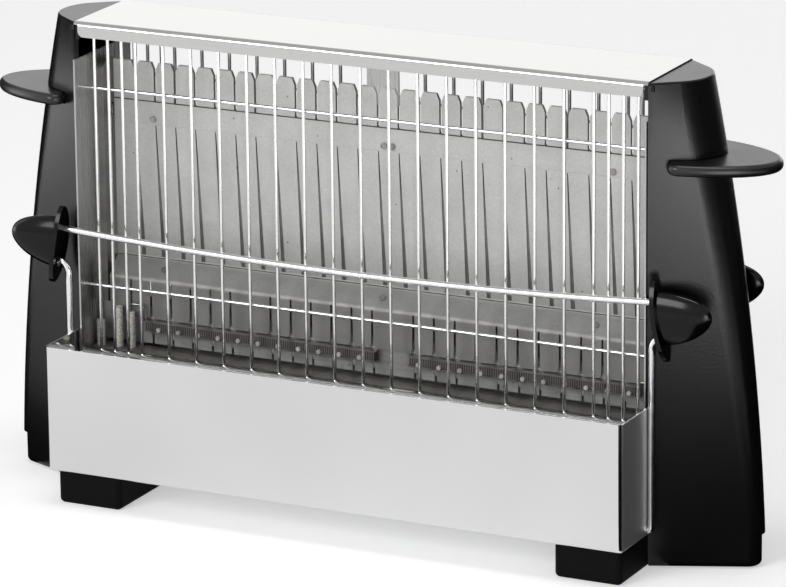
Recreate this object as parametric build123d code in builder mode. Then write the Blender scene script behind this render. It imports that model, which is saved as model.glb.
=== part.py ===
"""Drop-side toaster: a slim two-sided upright toaster with a wire guard and a swinging bail on each side.

X runs along the toaster, -Y is the front, +Z is up. The origin is on the table, midway between the ends
and midway between the two sides. All sizes are in millimetres.
"""

import os
from math import acos, atan2, cos, hypot, radians, sin, tan

from build123d import *

os.makedirs("parts", exist_ok=True)

# Overall sizes
TOP = 235.6  # height of the cover
HALF_LENGTH = 151.0  # from the middle to the inner face of each end cheek
TRAY_HALF_LENGTH = HALF_LENGTH + 2.15  # outside of the side flaps
TRAY_FRONT = 59.7  # from the middle to the outside of each tray panel
TRAY_TOP = 80.7
FOOT_HEIGHT = 17.8
SHEET = 0.8  # steel sheet
THIN_SHEET = 0.5  # reflector sheet
SEAT_GAP = 0.05  # clearance between seated pieces

# Guard wires
WIRE = 1.7
WIRE_STEPS = (0, 1, 2, 3, *range(5, 34, 2), 35, 36, 37, 38)
OUTER_WIRE_INSET = 7.36  # from the cheek to the outermost wire
WIRE_PITCH = 2 * (HALF_LENGTH - OUTER_WIRE_INSET) / WIRE_STEPS[-1]
GUARD_Y = 19.8
CROSS_WIRE_HEIGHTS = (63.0, 102.0, TOP - 34.0, TOP - 4.6)
GUARD_FOOT = 62.0

# Shoulders in front of the guard: a small roll, a slope down to the wall, and a flange on the tray
SHOULDER_Y = 33.0
SHOULDER_TOP = 70.2
SHOULDER_RADIUS = 5.5
SHOULDER_FLANGE = 18.0

# Bail: a bent rod with a knob near each end of its bar
ROD = 3.3
BAIL_Y = 30.0
PIVOT_HEIGHT = 20.8
ARM_X = HALF_LENGTH + 4.2
BAR_END_X = HALF_LENGTH + 7.0
BAR_END_HEIGHT = 132.4
BAR_SAG = 4.9
PIVOT_PIN = 8.6  # from the arm's centre line to the pin's end
PIVOT_BEND = 2.5
RUNNING = 0.05  # radial clearance of the pivot pins

# Knobs on the bails
SHIELD = 2.2
SHIELD_TOP = (HALF_LENGTH + 6.0, 144.0)
SHIELD_BOTTOM = (HALF_LENGTH + 12.5, 105.0)
SHIELD_BELLY = 2.1  # how far the shield's middle stands outside its top
SHIELD_HALF_DEPTH = 6.6
KNOB_Y = 31.5
EAR_TIP = (HALF_LENGTH + 34.7, 127.8)
EAR_RISE = 10.6  # of the ear's top over its tip
EAR_DROP = 15.2  # of the ear's underside below its tip
EAR_HALF_DEPTH = 4.6
KNOB_FIT = 0.03  # clearance between the rod and the knob moulded on it

# End cheeks and the base ends below them
CHEEK_FOOT = 16.5
CHEEK_TOP = TOP - 0.6
CHEEK_HALF_DEPTH = 26.0
CHEEK_NOSE_FOOT = HALF_LENGTH + 48.8
CHEEK_NOSE_TOP = HALF_LENGTH + 20.3
CHEEK_NOSE_BOW = 4.55
NOSE_RADIUS_FOOT = 8.5
NOSE_RADIUS_TOP = 21.0
CHEEK_WALL = 2.6
BASE_END_INSET = 1.5
BASE_END_FOOT = 0.4
TONGUE_REACH = 2.2  # of the cheek's top under the cover
TONGUE_DEPTH = 8.0

# Side handles
HANDLE_HEIGHT = 195.4  # middle of the plate
HANDLE_THICKNESS = 5.6
HANDLE_OVERHANG = 27.4  # from the cheek's nose to the handle's tip
HANDLE_INNER = HALF_LENGTH + 8.4
HANDLE_HALF_DEPTH = 29.6
HANDLE_SEAT = 1.5  # depth of the groove that the handle sits in
HANDLE_SHADOW = 0.6  # open groove above the handle

# Cover
COVER_HALF_DEPTH = 26.6
COVER_LIP = 7.4
COVER_LIP_HALF_LENGTH = HALF_LENGTH - 2.3

# Side plates and the posts on them
PLATE_HALF_DEPTH = 27.8
PLATE_TOP = TOP - 18.6
POST_HALF_DEPTH = 7.5
POST_DEPTH = 4.0
POST_TOP = TOP - 22.6
POST_FOOT = 66.0
SCREW_HEIGHTS = (110.0, 187.0)
SCREW = 3.4
SCREW_HEAD = 6.4
SCREW_HEAD_HEIGHT = 2.0
SCREW_LENGTH = 14.0

# Reflector
SLOT_PITCH = 11.0
SLOT_STEPS = 12
REFLECTOR_TOP = TOP - 23.2
TAB_DEPTH = 3.4
DARK_BAND = 193.0
WEDGE_TOP = 181.0
WEDGE_FOOT = 113.8
FLARE_FOOT = 105.0
FINGER_FOOT = 85.3
REFLECTOR_Y = 0.7
FINGER_Y = 9.5
LOWER_SHEET_Y = 7.8
LOWER_SHEET_TOP = 91.0
HEAT_SHIELD_HEIGHT = 70.2
HEAT_SHIELD_STEP = 6.0
HEAT_SHIELD_STEP_Y = 6.6

# Heating elements, one rail on each side of the middle, front and rear
RAIL_FOOT = 79.2
RAIL_TOP = 84.8
RAIL_SPANS = ((27.0 - HALF_LENGTH, 3.0), (20.3, HALF_LENGTH - 9.3))
RAIL_BACK_Y = 8.3
RAIL_FRONT_Y = 13.0
BEAD_PITCH = 11.0

# Foot bars
FOOT_BAR_INNER = HALF_LENGTH - 35.0
FOOT_BAR_OUTER = HALF_LENGTH - 0.5
FOOT_BAR_HALF_DEPTH = 54.7
FOOT_BAR_X = (FOOT_BAR_INNER + FOOT_BAR_OUTER) / 2
FOOT_SCREW_YS = (-20.0, 20.0)
FOOT_SCREW_HEAD = 8.0  # height of the screw heads' seats above the table

PLATE_INNER = HALF_LENGTH - SHEET
REFLECTOR_END = PLATE_INNER - POST_DEPTH - SCREW_HEAD_HEIGHT - 0.4
SLOTS = [SLOT_PITCH * step for step in range(-SLOT_STEPS, SLOT_STEPS + 1)]
SIDES = (("left", -1), ("right", 1))
FACES = (("front", -1), ("rear", 1))


def save(piece, name):
    """Label a finished piece and write it."""
    piece.label = name
    export_step(piece, f"parts/{name}.step")


def sided(piece, side):
    """The piece as built for the right end, or its mirror image for the left end."""
    return piece if side > 0 else mirror(piece, about=Plane.YZ)


def faced(piece, face):
    """The piece as built for the front, or its mirror image for the rear."""
    return piece if face < 0 else mirror(piece, about=Plane.XZ)


def cheek_rise(height):
    """How far up the cheek a height lies, from 0 at its foot to 1 at its top."""
    return (height - CHEEK_FOOT) / (CHEEK_TOP - CHEEK_FOOT)


def nose_x(height):
    """Outermost point of the cheek at a height."""
    rise = cheek_rise(height)
    straight = CHEEK_NOSE_FOOT + (CHEEK_NOSE_TOP - CHEEK_NOSE_FOOT) * rise
    return straight + 4 * CHEEK_NOSE_BOW * rise * (1 - rise)


def nose_radius(height):
    """Radius of the cheek's nose at a height."""
    return NOSE_RADIUS_FOOT + (NOSE_RADIUS_TOP - NOSE_RADIUS_FOOT) * cheek_rise(height)


def flank_end(height, inset=0.0):
    """Where the cheek's rear flank meets the round nose in plan."""
    radius = nose_radius(height) - inset
    centre = nose_x(height) - inset - radius
    half_depth = CHEEK_HALF_DEPTH - inset
    reach = hypot(centre - HALF_LENGTH, half_depth)
    toward = atan2(half_depth, HALF_LENGTH - centre)
    angle = toward - acos(radius / reach)
    return centre + radius * cos(angle), radius * sin(angle)


def cheek_section(height, inset=0.0):
    """A cheek's plan section: a flat inner side, two nearly flat flanks and a round nose."""
    half_depth = CHEEK_HALF_DEPTH - inset
    touch = flank_end(height, inset)
    with BuildSketch() as section:
        with BuildLine():
            Line((HALF_LENGTH, -half_depth), (touch[0], -touch[1]))
            ThreePointArc((touch[0], -touch[1]), (nose_x(height) - inset, 0), touch)
            Line(touch, (HALF_LENGTH, half_depth))
            Line((HALF_LENGTH, half_depth), (HALF_LENGTH, -half_depth))
        make_face()
    return section.sketch_local


# Foot bars: moulded blocks across the underside that carry the whole toaster
with BuildPart() as foot_bar:
    with BuildSketch():
        with Locations((FOOT_BAR_X, 0)):
            Rectangle(FOOT_BAR_OUTER - FOOT_BAR_INNER, 2 * FOOT_BAR_HALF_DEPTH)
    extrude(amount=FOOT_HEIGHT)
    fillet(foot_bar.edges().filter_by(Axis.Z), radius=3)
    fillet(foot_bar.faces().sort_by(Axis.Z)[0].edges(), radius=2.5)
    with Locations(*[Location((FOOT_BAR_X, y, 0), (180, 0, 0)) for y in FOOT_SCREW_YS]):
        CounterBoreHole(SCREW / 2 + 0.1, SCREW_HEAD / 2 + 0.3, FOOT_SCREW_HEAD)
for side_name, side in SIDES:
    save(sided(foot_bar.part, side), f"foot_bar_{side_name}")

# Bottom plate: closes the space between the two trays
BOTTOM_HALF_DEPTH = SHOULDER_Y + 1
with BuildPart() as bottom_plate:
    with BuildSketch(Plane.XY.offset(FOOT_HEIGHT)):
        Rectangle(2 * (PLATE_INNER - SEAT_GAP), 2 * BOTTOM_HALF_DEPTH)
        with Locations(*[(x, y) for x in (-FOOT_BAR_X, FOOT_BAR_X) for y in FOOT_SCREW_YS]):
            Circle(SCREW / 2 + 0.1, mode=Mode.SUBTRACT)
    extrude(amount=SHEET)
save(bottom_plate.part, "bottom_plate")

# Tray panels: polished sheet folded round the front, the two ends and under the bottom
TRAY_BEND = 2.5
TRAY_REAR = CHEEK_HALF_DEPTH + 0.6
TRAY_FLANGE_REAR = BOTTOM_HALF_DEPTH + SEAT_GAP
with BuildPart() as tray:
    with BuildSketch(Plane.XY.offset(FOOT_HEIGHT)):
        with Locations((0, -(TRAY_FRONT + TRAY_REAR) / 2)):
            Rectangle(2 * TRAY_HALF_LENGTH, TRAY_FRONT - TRAY_REAR)
    extrude(amount=TRAY_TOP - FOOT_HEIGHT)
    front_corners = tray.edges().filter_by(Axis.Z).group_by(Axis.Y)[0]
    fillet(front_corners, radius=TRAY_BEND)
    bottom_edges = tray.faces().sort_by(Axis.Z)[0].edges()
    rear_bottom_edge = bottom_edges.sort_by(Axis.Y)[-1]
    fillet([edge for edge in bottom_edges if edge != rear_bottom_edge], radius=TRAY_BEND - SHEET)
    open_faces = [tray.faces().sort_by(Axis.Z)[-1], tray.faces().sort_by(Axis.Y)[-1]]
    offset(amount=-SHEET, openings=open_faces)
    with BuildSketch(Plane.XY.offset(FOOT_HEIGHT)):
        with Locations((0, -(TRAY_FLANGE_REAR + TRAY_REAR) / 2)):
            Rectangle(2 * (TRAY_HALF_LENGTH - SHEET), TRAY_FLANGE_REAR - TRAY_REAR)
    extrude(amount=SHEET, mode=Mode.SUBTRACT)
    with BuildSketch(Plane.YZ):
        with Locations((-BAIL_Y, PIVOT_HEIGHT)):
            Circle(ROD / 2 + 0.35)
    extrude(amount=HALF_LENGTH * 2, both=True, mode=Mode.SUBTRACT)
for face_name, face in FACES:
    save(faced(tray.part, face), f"tray_{face_name}")

# Shoulders: polished sheet that stands behind each tray and rolls back to the foot of the guard
SHOULDER_FOOT = FOOT_HEIGHT + SHEET
SHOULDER_REAR = GUARD_Y + WIRE / 2 + 0.3
SHOULDER_WALL = SHOULDER_Y - SHEET / 2
SHOULDER_CREST = SHOULDER_TOP - SHEET / 2
ROLL = SHOULDER_RADIUS - SHEET / 2
ROLL_CORNER = SHOULDER_REAR + ROLL * tan(radians(22.5)) + 0.1  # where the crest would meet the slope
with BuildPart() as shoulder:
    with BuildSketch(Plane.YZ):
        with BuildLine():
            FilletPolyline(
                (-SHOULDER_REAR, SHOULDER_CREST),
                (-ROLL_CORNER, SHOULDER_CREST),
                (-SHOULDER_WALL, SHOULDER_CREST - (SHOULDER_WALL - ROLL_CORNER)),
                (-SHOULDER_WALL, SHOULDER_FOOT + SHEET / 2),
                (-SHOULDER_WALL - SHOULDER_FLANGE, SHOULDER_FOOT + SHEET / 2),
                radius=[ROLL, ROLL, SHEET],
            )
        trace(line_width=SHEET)
    extrude(amount=PLATE_INNER, both=True)
for face_name, face in FACES:
    save(faced(shoulder.part, face), f"shoulder_{face_name}")

# Side plates: bright sheet against the inner face of each cheek, ending the toasting chamber
PLATE_SHOULDER = SHOULDER_TOP - SHOULDER_RADIUS * 0.3
PLATE_WAIST = SHOULDER_TOP - 2 * SHOULDER_RADIUS
with BuildPart() as side_plate:
    with BuildSketch(Plane.YZ.offset(PLATE_INNER)):
        with BuildLine():
            Polyline(
                (-SHOULDER_Y, SHOULDER_FOOT),
                (-SHOULDER_Y, PLATE_WAIST),
                (-PLATE_HALF_DEPTH, PLATE_SHOULDER),
                (-PLATE_HALF_DEPTH, PLATE_TOP),
                (PLATE_HALF_DEPTH, PLATE_TOP),
                (PLATE_HALF_DEPTH, PLATE_SHOULDER),
                (SHOULDER_Y, PLATE_WAIST),
                (SHOULDER_Y, SHOULDER_FOOT),
                close=True,
            )
        make_face()
        with Locations((-BAIL_Y, PIVOT_HEIGHT), (BAIL_Y, PIVOT_HEIGHT)):
            Circle(ROD / 2 + RUNNING, mode=Mode.SUBTRACT)
        with Locations(*[(0, height) for height in SCREW_HEIGHTS]):
            Circle(SCREW / 2 + 0.1, mode=Mode.SUBTRACT)
    extrude(amount=SHEET)
for side_name, side in SIDES:
    save(sided(side_plate.part, side), f"side_plate_{side_name}")

# Posts: dark channels on the side plates that hold the ends of the reflectors
with BuildPart() as end_post:
    with BuildSketch(Plane.YZ.offset(PLATE_INNER)):
        with Locations((0, (POST_TOP + POST_FOOT) / 2)):
            SlotOverall(POST_TOP - POST_FOOT, 2 * POST_HALF_DEPTH, rotation=90)
    extrude(amount=-POST_DEPTH)
    offset(amount=-SHEET, openings=end_post.faces().sort_by(Axis.X)[-1])
    with BuildSketch(Plane.YZ.offset(PLATE_INNER)):
        with Locations(*[(0, height) for height in SCREW_HEIGHTS]):
            Circle(SCREW / 2 + 0.1)
    extrude(amount=-2 * POST_DEPTH, mode=Mode.SUBTRACT)
for side_name, side in SIDES:
    save(sided(end_post.part, side), f"end_post_{side_name}")

# End cheeks: hollow textured mouldings with a groove round the nose for the handle
GROOVE_FOOT = HANDLE_HEIGHT - HANDLE_THICKNESS / 2 - SEAT_GAP
GROOVE_TOP = HANDLE_HEIGHT + HANDLE_THICKNESS / 2 + HANDLE_SHADOW
GROOVE_DEEP_WALL = HANDLE_SEAT + CHEEK_WALL
TONGUE_HALF_DEPTH = COVER_HALF_DEPTH - SHEET - 0.6
CROSS_WIRE_Y = GUARD_Y - 0.8 * WIRE
SECTION_HEIGHTS = [CHEEK_FOOT + (CHEEK_TOP - CHEEK_FOOT) * step / 4 for step in range(5)]
with BuildPart() as groove_core:
    with BuildSketch(Plane.XY.offset(GROOVE_FOOT)):
        add(cheek_section(HANDLE_HEIGHT, HANDLE_SEAT))
    extrude(amount=GROOVE_TOP - GROOVE_FOOT)
with BuildPart() as groove:
    with BuildSketch(Plane.XY.offset(GROOVE_FOOT)):
        with Locations((HANDLE_INNER - SEAT_GAP, 0)):
            Rectangle(
                4 * CHEEK_HALF_DEPTH,
                4 * CHEEK_HALF_DEPTH,
                align=(Align.MIN, Align.CENTER),
            )
    extrude(amount=GROOVE_TOP - GROOVE_FOOT)
    add(groove_core.part, mode=Mode.SUBTRACT)
with BuildPart() as cheek_block:
    for height in SECTION_HEIGHTS:
        with BuildSketch(Plane.XY.offset(height)):
            add(cheek_section(height))
    loft()
    fillet(cheek_block.faces().sort_by(Axis.Z)[-1].edges().sort_by(Axis.X)[1:], radius=1)
with BuildPart() as cheek_cavity:
    for height in (*SECTION_HEIGHTS[:-1], CHEEK_TOP - CHEEK_WALL):
        with BuildSketch(Plane.XY.offset(height)):
            add(cheek_section(height, GROOVE_DEEP_WALL))
    loft()
with BuildPart() as end_cheek:
    add(cheek_block.part)
    add(cheek_cavity.part, mode=Mode.SUBTRACT)
    for height in SCREW_HEIGHTS:
        with BuildSketch(Plane.YZ.offset(HALF_LENGTH)):
            with Locations((0, height)):
                Circle(SCREW + 0.8)
        extrude(amount=nose_x(height) - HALF_LENGTH - CHEEK_WALL)
    with BuildSketch(Plane.YZ.offset(HALF_LENGTH)):
        with Locations(*[(0, height) for height in SCREW_HEIGHTS]):
            Circle(SCREW / 2 + SEAT_GAP)
    extrude(amount=SCREW_LENGTH, mode=Mode.SUBTRACT)
    add(groove.part, mode=Mode.SUBTRACT)
    with BuildSketch(Plane.YZ.offset(HALF_LENGTH)):
        with Locations((0, TOP - SHEET - SEAT_GAP)):
            Rectangle(2 * TONGUE_HALF_DEPTH, TONGUE_DEPTH, align=(Align.CENTER, Align.MAX))
        with Locations((-CROSS_WIRE_Y, CROSS_WIRE_HEIGHTS[-1]), (CROSS_WIRE_Y, CROSS_WIRE_HEIGHTS[-1])):
            Circle(WIRE / 2 + SEAT_GAP, mode=Mode.SUBTRACT)
    extrude(amount=-TONGUE_REACH)
    with BuildSketch(Plane.YZ.offset(HALF_LENGTH)):
        with Locations((0, CHEEK_TOP - CHEEK_WALL / 2)):
            Rectangle(2 * TONGUE_HALF_DEPTH, CHEEK_WALL, align=(Align.CENTER, Align.MAX))
    extrude(amount=CHEEK_WALL)
for side_name, side in SIDES:
    save(sided(end_cheek.part, side), f"end_cheek_{side_name}")

# Base ends: the separate plinths below the cheeks, a little smaller in plan
with BuildPart() as base_end:
    with BuildSketch(Plane.XY.offset(BASE_END_FOOT)):
        add(cheek_section(CHEEK_FOOT, BASE_END_INSET))
    extrude(amount=CHEEK_FOOT - BASE_END_FOOT)
    foot_edges = base_end.faces().sort_by(Axis.Z)[0].edges().sort_by(Axis.X)[1:]
    fillet(foot_edges, radius=2.5)
    with BuildSketch(Plane.XY.offset(BASE_END_FOOT + CHEEK_WALL)):
        add(cheek_section(CHEEK_FOOT, BASE_END_INSET + CHEEK_WALL))
    extrude(amount=CHEEK_FOOT, mode=Mode.SUBTRACT)
save(base_end.part, "base_end_right")

# Supply inlet: bushing in the rear flank of the left base end, where the supply lead would enter
INLET_BORE = 7.0
INLET_BODY = 9.4
INLET_FLANGE = 12.0
INLET_FLANGE_THICKNESS = 1.2
INLET_HEIGHT = (BASE_END_FOOT + CHEEK_FOOT) / 2
flank_touch = flank_end(CHEEK_FOOT, BASE_END_INSET)
flank_root = (HALF_LENGTH, CHEEK_HALF_DEPTH - BASE_END_INSET)
inlet_plane = Plane(
    origin=(
        -(flank_root[0] + flank_touch[0]) / 2,
        (flank_root[1] + flank_touch[1]) / 2,
        INLET_HEIGHT,
    ),
    x_dir=(0, 0, 1),
    z_dir=(flank_touch[1] - flank_root[1], flank_touch[0] - flank_root[0], 0),
)
with BuildPart() as base_end_left:
    add(sided(base_end.part, -1))
    with BuildSketch(inlet_plane):
        Circle(INLET_BODY / 2 + SEAT_GAP)
    extrude(amount=2 * CHEEK_WALL, both=True, mode=Mode.SUBTRACT)
save(base_end_left.part, "base_end_left")
with BuildPart() as supply_inlet:
    with BuildSketch(inlet_plane.offset(SEAT_GAP)):
        Circle(INLET_FLANGE / 2)
    extrude(amount=INLET_FLANGE_THICKNESS)
    fillet(supply_inlet.edges().filter_by(GeomType.CIRCLE), radius=0.5)
    with BuildSketch(inlet_plane.offset(SEAT_GAP)):
        Circle(INLET_BODY / 2)
    extrude(amount=-CHEEK_WALL - 1)
    with BuildSketch(inlet_plane):
        Circle(INLET_BORE / 2)
    extrude(amount=2 * CHEEK_WALL, both=True, mode=Mode.SUBTRACT)
save(supply_inlet.part, "supply_inlet")

# Side handles: flat rounded plates that wrap the nose of each cheek
BULLNOSE = HANDLE_THICKNESS / 2 - 0.3
HANDLE_INNER_RADIUS = 6.0
HANDLE_CENTRE = HALF_LENGTH - 5
HANDLE_REACH = nose_x(HANDLE_HEIGHT) + HANDLE_OVERHANG
with BuildPart() as handle_core:
    with BuildSketch(Plane.XY.offset(HANDLE_HEIGHT - HANDLE_THICKNESS)):
        add(cheek_section(HANDLE_HEIGHT, HANDLE_SEAT - SEAT_GAP))
    extrude(amount=2 * HANDLE_THICKNESS)
with BuildPart() as side_handle:
    with BuildSketch(Plane.XY.offset(HANDLE_HEIGHT - HANDLE_THICKNESS / 2)):
        with Locations((HANDLE_CENTRE, 0)):
            Ellipse(HANDLE_REACH - HANDLE_CENTRE, HANDLE_HALF_DEPTH)
        with Locations((HANDLE_INNER, 0)):
            Rectangle(
                HANDLE_REACH,
                2 * HANDLE_REACH,
                align=(Align.MAX, Align.CENTER),
                mode=Mode.SUBTRACT,
            )
    extrude(amount=HANDLE_THICKNESS)
    fillet(side_handle.edges().filter_by(Axis.Z), radius=HANDLE_INNER_RADIUS)
    fillet(side_handle.edges().group_by(Axis.Z)[0], radius=BULLNOSE)
    fillet(side_handle.edges().group_by(Axis.Z)[-1], radius=BULLNOSE)
    add(handle_core.part, mode=Mode.SUBTRACT)
for side_name, side in SIDES:
    save(sided(side_handle.part, side), f"side_handle_{side_name}")

# Cover: folded sheet over the top, with a lip along each side
COVER_BEND = 2.0
with BuildPart() as top_cover:
    with BuildSketch(Plane.YZ):
        with BuildLine():
            FilletPolyline(
                (-COVER_HALF_DEPTH + SHEET / 2, TOP - COVER_LIP),
                (-COVER_HALF_DEPTH + SHEET / 2, TOP - SHEET / 2),
                (COVER_HALF_DEPTH - SHEET / 2, TOP - SHEET / 2),
                (COVER_HALF_DEPTH - SHEET / 2, TOP - COVER_LIP),
                radius=COVER_BEND,
            )
        trace(line_width=SHEET)
    extrude(amount=HALF_LENGTH - SEAT_GAP, both=True)
    with BuildSketch(Plane.XZ):
        with Locations((0, TOP - SHEET - 0.6)):
            Rectangle(
                4 * HALF_LENGTH,
                2 * COVER_LIP,
                align=(Align.CENTER, Align.MAX),
            )
        with Locations((0, TOP)):
            Rectangle(
                2 * COVER_LIP_HALF_LENGTH,
                COVER_LIP,
                align=(Align.CENTER, Align.MAX),
                mode=Mode.SUBTRACT,
            )
    extrude(amount=2 * COVER_HALF_DEPTH, both=True, mode=Mode.SUBTRACT)
    lip_corners = top_cover.edges().filter_by(Axis.Y).group_by(Axis.Z)[0]
    fillet(lip_corners, radius=3)
save(top_cover.part, "top_cover")

# Guards: upright chrome wires welded to four cross wires that lie behind them
GUARD_TOP = TOP - SHEET - SEAT_GAP
GUARD_MIDDLE = (WIRE_STEPS[0] + WIRE_STEPS[-1]) / 2
WIRE_XS = [(step - GUARD_MIDDLE) * WIRE_PITCH for step in WIRE_STEPS]
with BuildPart() as guard:
    with BuildSketch(Plane.XY.offset(GUARD_FOOT)):
        with Locations(*[(x, -GUARD_Y) for x in WIRE_XS]):
            Circle(WIRE / 2)
    extrude(amount=GUARD_TOP - GUARD_FOOT)
    with BuildSketch(Plane.YZ):
        with Locations(*[(-CROSS_WIRE_Y, height) for height in CROSS_WIRE_HEIGHTS]):
            Circle(WIRE / 2)
    extrude(amount=PLATE_INNER - SEAT_GAP, both=True)
for face_name, face in FACES:
    save(faced(guard.part, face), f"guard_{face_name}")

# Cover strap: folded strip that hangs the middle of the reflector from the cover
STRAP_X = 2.5
STRAP_WIDTH = 17.0
STRAP_FOOT = TOP - 31.6
STRAP_FLANGE = 9.0
STRAP_TOP = TOP - SHEET - SEAT_GAP - SHEET / 2
with BuildPart() as cover_strap:
    with BuildSketch(Plane.YZ.offset(STRAP_X)):
        with BuildLine():
            FilletPolyline((0, STRAP_FOOT), (0, STRAP_TOP), (STRAP_FLANGE, STRAP_TOP), radius=1.5)
        trace(line_width=SHEET)
    extrude(amount=STRAP_WIDTH / 2, both=True)
save(cover_strap.part, "cover_strap")

# Upper reflectors: thin sheets back to back, slotted into tabs at the top and flared at the foot
TOP_SLOT = 1.2
FLARE_RADIUS = 3.0
TAB_CHAMFER = 1.9
WEDGE_LEAN = 4.0
WEDGE_WIDTHS = (0.5, 2.2)
SHORT_SLOT_TOP = 104.3
SHORT_SLOT_WIDTHS = (0.9, 1.4)
NOTCH_WIDTH = 4.4
NOTCH_HEIGHT = 1.9
OUTER_RIVET_X = HALF_LENGTH - 28.6
OUTER_EYELET_X = HALF_LENGTH - 35.5
RIVET_POINTS = ((-OUTER_RIVET_X, 184.0), (3.1, 184.0), (7.4, 184.0), (OUTER_RIVET_X, 184.0))
EYELETS = (-OUTER_EYELET_X, 3.5, OUTER_EYELET_X)
RIVET = 1.6
RIVET_HEAD = 3.4
RIVET_HEAD_HEIGHT = 0.6
SHORT_SLOTS = [x for x in SLOTS if x != SLOT_PITCH]


def flare_plane(face):
    """Plane along the middle of the front or rear flare, facing outwards and up."""
    return Plane(
        origin=(0, face * (REFLECTOR_Y + FINGER_Y) / 2, (WEDGE_FOOT + FLARE_FOOT) / 2),
        x_dir=(1, 0, 0),
        z_dir=(0, face * (WEDGE_FOOT - FLARE_FOOT), FINGER_Y - REFLECTOR_Y),
    )


with BuildPart() as upper_reflector:
    with BuildSketch(Plane.YZ):
        with BuildLine():
            FilletPolyline(
                (-REFLECTOR_Y, REFLECTOR_TOP),
                (-REFLECTOR_Y, WEDGE_FOOT),
                (-FINGER_Y, FLARE_FOOT),
                (-FINGER_Y, FINGER_FOOT),
                radius=FLARE_RADIUS,
            )
        trace(line_width=THIN_SHEET)
    extrude(amount=REFLECTOR_END, both=True)
    with BuildSketch(Plane.XZ):
        with Locations(*[(x, 0) for x in SLOTS]):
            Polygon(
                (-TOP_SLOT / 2, DARK_BAND),
                (TOP_SLOT / 2, DARK_BAND),
                (TOP_SLOT / 2, REFLECTOR_TOP - TAB_DEPTH),
                (TOP_SLOT / 2 + TAB_CHAMFER, REFLECTOR_TOP + 1),
                (-TOP_SLOT / 2 - TAB_CHAMFER, REFLECTOR_TOP + 1),
                (-TOP_SLOT / 2, REFLECTOR_TOP - TAB_DEPTH),
                align=None,
            )
            Polygon(
                (-WEDGE_WIDTHS[0] / 2, WEDGE_TOP),
                (WEDGE_LEAN - WEDGE_WIDTHS[1], WEDGE_FOOT + 1),
                (WEDGE_LEAN, WEDGE_FOOT + 1),
                (WEDGE_WIDTHS[0] / 2, WEDGE_TOP),
                align=None,
            )
        with Locations(*[(x, 0) for x in SHORT_SLOTS]):
            Polygon(
                (-SHORT_SLOT_WIDTHS[0] / 2, SHORT_SLOT_TOP),
                (-SHORT_SLOT_WIDTHS[1] / 2, FINGER_FOOT + NOTCH_HEIGHT),
                (-NOTCH_WIDTH / 2, FINGER_FOOT - 1),
                (NOTCH_WIDTH / 2, FINGER_FOOT - 1),
                (SHORT_SLOT_WIDTHS[1] / 2, FINGER_FOOT + NOTCH_HEIGHT),
                (SHORT_SLOT_WIDTHS[0] / 2, SHORT_SLOT_TOP),
                align=None,
            )
        with Locations(*RIVET_POINTS):
            Circle(RIVET / 2 + SEAT_GAP)
    extrude(amount=2 * FINGER_Y, mode=Mode.SUBTRACT)
    with BuildSketch(flare_plane(-1)):
        with Locations(*[(x, 0) for x in EYELETS]):
            Circle(RIVET / 2 + SEAT_GAP)
    extrude(amount=2 * THIN_SHEET, both=True, mode=Mode.SUBTRACT)
for face_name, face in FACES:
    save(faced(upper_reflector.part, face), f"reflector_{face_name}")

# Heat shield: shallow stepped pan under the heating elements, its ledges level with the shoulders
SHIELD_LEDGE = HEAT_SHIELD_HEIGHT - THIN_SHEET / 2
SHIELD_FLOOR = SHIELD_LEDGE - HEAT_SHIELD_STEP
SHIELD_EDGE = GUARD_Y - WIRE / 2 - 0.25
with BuildPart() as heat_shield:
    with BuildSketch(Plane.YZ):
        with BuildLine():
            Polyline(
                (-SHIELD_EDGE, SHIELD_LEDGE),
                (-HEAT_SHIELD_STEP_Y, SHIELD_LEDGE),
                (-HEAT_SHIELD_STEP_Y, SHIELD_FLOOR),
                (HEAT_SHIELD_STEP_Y, SHIELD_FLOOR),
                (HEAT_SHIELD_STEP_Y, SHIELD_LEDGE),
                (SHIELD_EDGE, SHIELD_LEDGE),
            )
        trace(line_width=THIN_SHEET)
    extrude(amount=PLATE_INNER - SEAT_GAP, both=True)
save(heat_shield.part, "heat_shield")

# Lower reflectors: comb-like sheets behind the heating elements, held at their ends on the posts
LOWER_SHEET_FOOT = HEAT_SHIELD_HEIGHT + 2.0
LOWER_SLOT = 1.2
LOWER_END = PLATE_INNER - POST_DEPTH / 2
with BuildPart() as lower_reflector:
    with BuildSketch(Plane.XZ.offset(LOWER_SHEET_Y)):
        with Locations((0, (LOWER_SHEET_FOOT + LOWER_SHEET_TOP) / 2)):
            Rectangle(2 * LOWER_END, LOWER_SHEET_TOP - LOWER_SHEET_FOOT)
        with Locations(*[(x, LOWER_SHEET_FOOT) for x in SHORT_SLOTS]):
            Rectangle(
                LOWER_SLOT,
                RAIL_TOP - LOWER_SHEET_FOOT,
                align=(Align.CENTER, Align.MIN),
                mode=Mode.SUBTRACT,
            )
    extrude(amount=THIN_SHEET / 2, both=True)
for face_name, face in FACES:
    save(faced(lower_reflector.part, face), f"lower_reflector_{face_name}")

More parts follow.
